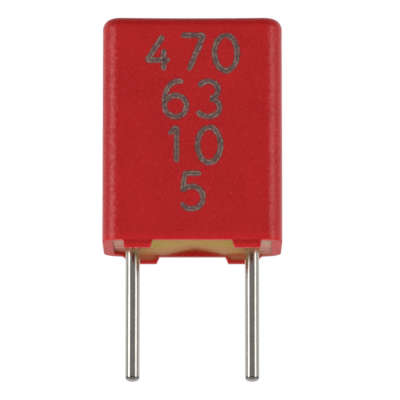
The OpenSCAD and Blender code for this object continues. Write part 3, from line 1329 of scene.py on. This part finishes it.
class Numeral(Enum):
    """The plain numbers that the marking uses."""

    ZERO = 0
    ONE = 1
    THREE = 3
    FOUR = 4
    FIVE = 5
    SIX = 6
    SEVEN = 7

    def strokes(self) -> tuple[Array, ...]:
        """Paths of the strokes, in shares of the width and height.

        Returns:
            For each stroke its points, shape (n, 2).
        """
        if self is Numeral.ZERO:
            return (arc((0.5, 0.5), (0.5, 0.5), 90, 462),)
        if self is Numeral.ONE:
            return (line((0.2, 0.8), (0.55, 1), (0.55, 0)),)
        if self is Numeral.THREE:
            upper = arc((0.46, 0.75), (0.44, 0.25), 160, -82)
            return (np.concatenate([upper, arc((0.46, 0.26), (0.5, 0.26), 82, -160)]),)
        if self is Numeral.FOUR:
            return line((0.7, 1), (0, 0.3), (1, 0.3)), line((0.72, 0.62), (0.72, 0))
        if self is Numeral.FIVE:
            bar = line((0.9, 1), (0.18, 1), (0.08, 0.54))
            return (np.concatenate([bar, arc((0.47, 0.32), (0.5, 0.32), 138, -155)]),)
        if self is Numeral.SIX:
            stem = arc((0.62, 0.48), (0.6, 0.52), 68, 178)
            return (np.concatenate([stem, arc((0.5, 0.3), (0.48, 0.3), 180, 530)]),)
        return (line((0, 1), (1, 1), (0.34, 0)),)


@dataclass
class Marking:
    """Rows of plain numbers etched in the marked face."""

    case: Case
    rows: tuple[tuple[Numeral, ...], ...] = (
        (Numeral.FOUR, Numeral.SEVEN, Numeral.ZERO),
        (Numeral.SIX, Numeral.THREE),
        (Numeral.ONE, Numeral.ZERO),
        (Numeral.FIVE,),
    )
    first_row_middle: float = 8.2 * MM
    row_pitch: float = 1.95 * MM
    height: float = 1.5 * MM
    width: float = 0.95 * MM
    spacing: float = 0.45 * MM
    stroke: float = 0.32 * MM
    lift: float = 0.006 * MM
    depth: float = 0.03 * MM

    def __post_init__(self) -> None:
        """Spread the points of a stroke's section, as shares of its half width."""
        self.dome_shares = np.linspace(-1, 1, 11)
        self.base_shares = np.linspace(1, -1, 5)
        self.shares = np.concatenate([self.dome_shares, self.base_shares])

    def ribbon(self, path: Array) -> Array:
        """Rings of one stroke: a flat section carried along the path, narrowing to round ends.

        The section is a low dome above the face and a flat bottom below it. Its half width falls
        as a circle's does over the last half stroke at each end.

        Args:
            path: Points of the stroke in the face, shape (n, 2), as x and z.

        Returns:
            Points, shape (rings, points of a ring, 3).
        """
        step = np.hypot(*np.diff(path, axis=0).T)
        run = np.concatenate([[0], np.cumsum(step)])
        ends = self.stroke / 2 * (1 - np.cos(np.linspace(0.12, math.pi / 2, 8)))
        inner = np.arange(self.stroke / 2, run[-1] - self.stroke / 2, 0.035 * MM)
        at = np.unique(np.concatenate([ends, inner, run[-1] - ends]))
        x, z = (np.interp(at, run, path[:, axis]) for axis in range(2))
        kernel = np.ones(5) / 5
        padded = (np.pad(values, 2, mode="reflect", reflect_type="odd") for values in (x, z))
        x, z = (np.convolve(values, kernel, "valid") for values in padded)
        along = np.stack([np.gradient(x, at), np.gradient(z, at)], axis=-1)
        along /= np.linalg.norm(along, axis=-1, keepdims=True)
        to_end = np.clip(np.minimum(at, run[-1] - at) / (self.stroke / 2), 0, 1)
        half = self.stroke / 2 * np.sqrt(1 - (1 - to_end) ** 2)
        dome = self.lift * (1 - self.dome_shares**6)
        rise = np.concatenate([dome, np.full(len(self.base_shares), -self.depth)])
        offset = half[:, None] * self.shares[None, :]
        px = x[:, None] - along[:, 1:2] * offset
        pz = z[:, None] + along[:, 0:1] * offset
        py = self.case.front_face(px, pz) - rise[None, :]
        return np.stack([px, py, pz], axis=-1)

    def build(self, material: bpy.types.Material) -> None:
        """Make the marking and dress it.

        Args:
            material: The finish.
        """
        skins, across = [], []
        for row_number, row in enumerate(self.rows):
            row_length = len(row) * self.width + (len(row) - 1) * self.spacing
            bottom = self.first_row_middle - row_number * self.row_pitch - self.height / 2
            for place, numeral in enumerate(row):
                left = -row_length / 2 + place * (self.width + self.spacing)
                for stroke in numeral.strokes():
                    path = np.array([left, bottom]) + stroke * np.array([self.width, self.height])
                    rings = self.ribbon(path)
                    skins.append(closed_surface(rings))
                    across += [np.tile(self.shares, len(rings)), np.zeros(2)]
        marking = mesh_object("face_marking", skins, sharp_deg=50)
        add_attribute(marking, "across", np.concatenate(across))
        settle(marking, "case", material)


# ---------------------------------------------------------------------------------------------
# The studio
# ---------------------------------------------------------------------------------------------


@dataclass
class Lamp:
    """A rectangular soft lamp that faces the part."""

    name: str
    azimuth_deg: float
    elevation_deg: float
    distance: float
    width: float
    height: float
    radiance: float
    mirrored: bool = True

    def build(self, target: Vector) -> None:
        """Hang the lamp, turned towards the target.

        Args:
            target: The point it faces.
        """
        data = bpy.data.lights.new(self.name, "AREA")
        data.shape = "RECTANGLE"
        data.size, data.size_y = self.width, self.height
        data.energy = self.radiance * math.pi * self.width * self.height
        lamp = bpy.data.objects.new(self.name, data)
        lamp.location = target + direction_from(self.azimuth_deg, self.elevation_deg) * self.distance
        lamp.rotation_euler = (target - lamp.location).to_track_quat("-Z", "Y").to_euler()
        lamp.visible_glossy = self.mirrored
        bpy.context.scene.collection.objects.link(lamp)


def direction_from(azimuth_deg: float, elevation_deg: float) -> Vector:
    """The way from the part to a place round it: azimuth 0 is in front, 90 on the +X side.

    Args:
        azimuth_deg: Angle round the part.
        elevation_deg: Angle above the horizon.

    Returns:
        A vector of length 1.
    """
    azimuth, elevation = math.radians(azimuth_deg), math.radians(elevation_deg)
    level = math.cos(elevation)
    return Vector((math.sin(azimuth) * level, -math.cos(azimuth) * level, math.sin(elevation)))


@dataclass
class Studio:
    """Camera, lamps, floor and surroundings."""

    low: Vector
    high: Vector
    camera_distance: float = 187 * MM
    camera_elevation_deg: float = -9.7
    camera_aside: float = 0.32 * MM
    camera_above: float = 0.126 * MM
    focal_length: float = 400.4
    floor_radius: float = 400 * MM
    floor_corners: int = 96
    floor_fade: tuple[float, float] = (25 * MM, 110 * MM)
    floor_colour: Colour = srgb(244, 244, 244)
    lamps: tuple[Lamp, ...] = (
        Lamp("left_softbox", -58.5, 1, 0.12, 0.057, 0.095, 3.0),
        Lamp("right_softbox", 57, 1, 0.12, 0.056, 0.095, 2.5),
        Lamp("left_fill", -86, 10, 0.14, 0.12, 0.1, 1.5, mirrored=False),
        Lamp("right_fill", 86, 10, 0.14, 0.12, 0.1, 1.5, mirrored=False),
        Lamp("front_fill", 0, 14, 0.14, 0.12, 0.1, 0.95, mirrored=False),
        Lamp("under_fill", 0, -68, 0.12, 0.12, 0.1, 2.75, mirrored=False),
    )
    front_light: float = 0.2
    rear_light: float = 0.6
    front_mirrored: float = 0.4
    rear_mirrored: float = 0.84
    rise_start_light: float = -0.75
    rise_start_mirrored: float = -0.35
    rise_end_light: float = 0.1
    rise_end_mirrored: float = 0.85
    overhead_light: float = 0.65
    overhead_mirrored: float = 0.6
    below_light: float = 0.75
    below_mirrored: float = 0.25
    floor_mirrored: float = 0.9

    def build(self) -> None:
        """Set up everything that isn't part of the object."""
        middle = (self.low + self.high) / 2
        self.build_camera(Vector((self.camera_aside, 0, middle.z + self.camera_above)))
        for lamp in self.lamps:
            lamp.build(middle)
        self.build_floor()
        self.build_world()
        scene = bpy.context.scene
        scene.view_settings.view_transform = "Standard"

    def build_camera(self, target: Vector) -> None:
        """Place the camera below the part's middle, looking slightly up at it.

        Args:
            target: The point it looks at.
        """
        data = bpy.data.cameras.new("camera")
        data.lens = self.focal_length
        data.sensor_width = 36
        data.clip_start, data.clip_end = 0.01, 5
        camera = bpy.data.objects.new("camera", data)
        camera.location = target + direction_from(0, self.camera_elevation_deg) * self.camera_distance
        camera.rotation_euler = (target - camera.location).to_track_quat("-Z", "Y").to_euler()
        bpy.context.scene.collection.objects.link(camera)
        bpy.context.scene.camera = camera

    def build_floor(self) -> None:
        """Lay a pale round floor under the cut ends.

        It is see-through from below, and for the camera it fades into the white surroundings.
        """
        angle = np.linspace(0, 2 * math.pi, self.floor_corners, endpoint=False)
        ring = np.stack([np.cos(angle), np.sin(angle), 0 * angle], axis=-1) * self.floor_radius
        ring[:, 2] = self.low.z
        mesh = bpy.data.meshes.new("floor")
        mesh.from_pydata(ring, [], [list(range(self.floor_corners))])
        floor = bpy.data.objects.new("floor", mesh)
        bpy.context.scene.collection.objects.link(floor)
        material, nodes, shader = start_material("floor")
        shader.inputs["Base Color"].default_value = (*self.floor_colour, 1)
        shader.inputs["Roughness"].default_value = 0.9
        clear = nodes.add("ShaderNodeBsdfTransparent")
        below = nodes.add("ShaderNodeNewGeometry").outputs["Backfacing"]
        rays = nodes.add("ShaderNodeLightPath")
        passed = nodes.math("MAXIMUM", rays.outputs["Is Shadow Ray"], rays.outputs["Is Glossy Ray"])
        away = nodes.add("ShaderNodeVectorMath", {"operation": "LENGTH"}, Vector=nodes.place())
        fade = nodes.ramp(away.outputs["Value"], *self.floor_fade)
        faded = nodes.math("MULTIPLY", rays.outputs["Is Camera Ray"], fade)
        open_share = nodes.math("MAXIMUM", below, nodes.math("MAXIMUM", passed, faded))
        mixed = nodes.add("ShaderNodeMixShader")
        parts = (open_share, shader.outputs["BSDF"], clear.outputs["BSDF"])
        for socket, value in zip(mixed.inputs, parts):
            nodes.put(socket, value)
        nodes.put(nodes.tree.nodes["Material Output"].inputs["Surface"], mixed.outputs["Shader"])
        mesh.materials.append(material)
        floor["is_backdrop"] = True

    def build_world(self) -> None:
        """Surround the part with white for the camera, darker on its own side for light and mirrors."""
        world = bpy.data.worlds.new("studio")
        bpy.context.scene.world = world
        world.use_nodes = True
        nodes = NodeTree(world.node_tree)
        direction = nodes.add("ShaderNodeTexCoord").outputs["Generated"]
        way = nodes.add("ShaderNodeSeparateXYZ", Vector=direction)
        rays = nodes.add("ShaderNodeLightPath").outputs
        mirrored = nodes.math("MAXIMUM", rays["Is Glossy Ray"], rays["Is Transmission Ray"])
        front = nodes.ramp(mirrored, 0, 1, self.front_light, self.front_mirrored)
        rear = nodes.ramp(mirrored, 0, 1, self.rear_light, self.rear_mirrored)
        rise_start = nodes.ramp(mirrored, 0, 1, self.rise_start_light, self.rise_start_mirrored)
        rise_end = nodes.ramp(mirrored, 0, 1, self.rise_end_light, self.rise_end_mirrored)
        round_about = nodes.ramp(way.outputs["Y"], rise_start, rise_end, front, rear)
        overhead_share = nodes.ramp(mirrored, 0, 1, self.overhead_light, self.overhead_mirrored)
        overhead = nodes.ramp(way.outputs["Z"], 0.35, 0.8, 1, overhead_share)
        floor_mirrored = nodes.ramp(
            way.outputs["Z"], -0.3, -0.55, self.below_mirrored, self.floor_mirrored
        )
        below_share = nodes.ramp(mirrored, 0, 1, self.below_light, floor_mirrored)
        below = nodes.ramp(way.outputs["Z"], 0.05, -0.15, 1, below_share)
        level = nodes.math("MULTIPLY", round_about, nodes.math("MULTIPLY", overhead, below))
        strength = nodes.math("MAXIMUM", rays["Is Camera Ray"], level)
        light = nodes.add("ShaderNodeBackground", Color=(1, 1, 1), Strength=strength)
        nodes.add("ShaderNodeOutputWorld", Surface=light.outputs["Background"])


# ---------------------------------------------------------------------------------------------
# The whole
# ---------------------------------------------------------------------------------------------


def main() -> None:
    """Build every piece and set the studio."""
    logging.basicConfig(level=logging.INFO, format="%(name)s: %(message)s")
    low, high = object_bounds()
    effects = Effects()
    case = Case(*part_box("case"))

    wire = TinnedWire().material(effects)
    leads = []
    for node in ("lead_left", "lead_right"):
        lead_low, lead_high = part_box(node)
        leads.append(Lead(node, lead_low, lead_high, LEAD_RADIUS, case.foot_height + LEAD_CLEAR))
        leads[-1].build(wire)
    pitch = leads[1].high.x + leads[1].low.x
    resin = Resin(case, pitch, leads[0].radius)
    resin.build(CastResin().material(effects))
    case.build(MouldedPlastic().material(effects), resin)
    Marking(case).build(EtchedMark().material(effects))

    hidden = {
        "film_winding": MetallisedFilm().material(effects),
        "end_contact_left": SprayedMetal().material(effects),
    }
    hidden["end_contact_right"] = hidden["end_contact_left"]
    for node, material in hidden.items():
        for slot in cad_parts[node].material_slots:
            slot.material = material
        LOG.info("%s: frame's own mesh", node)

    Studio(low, high).build()


if __name__ == "__main__":
    main()
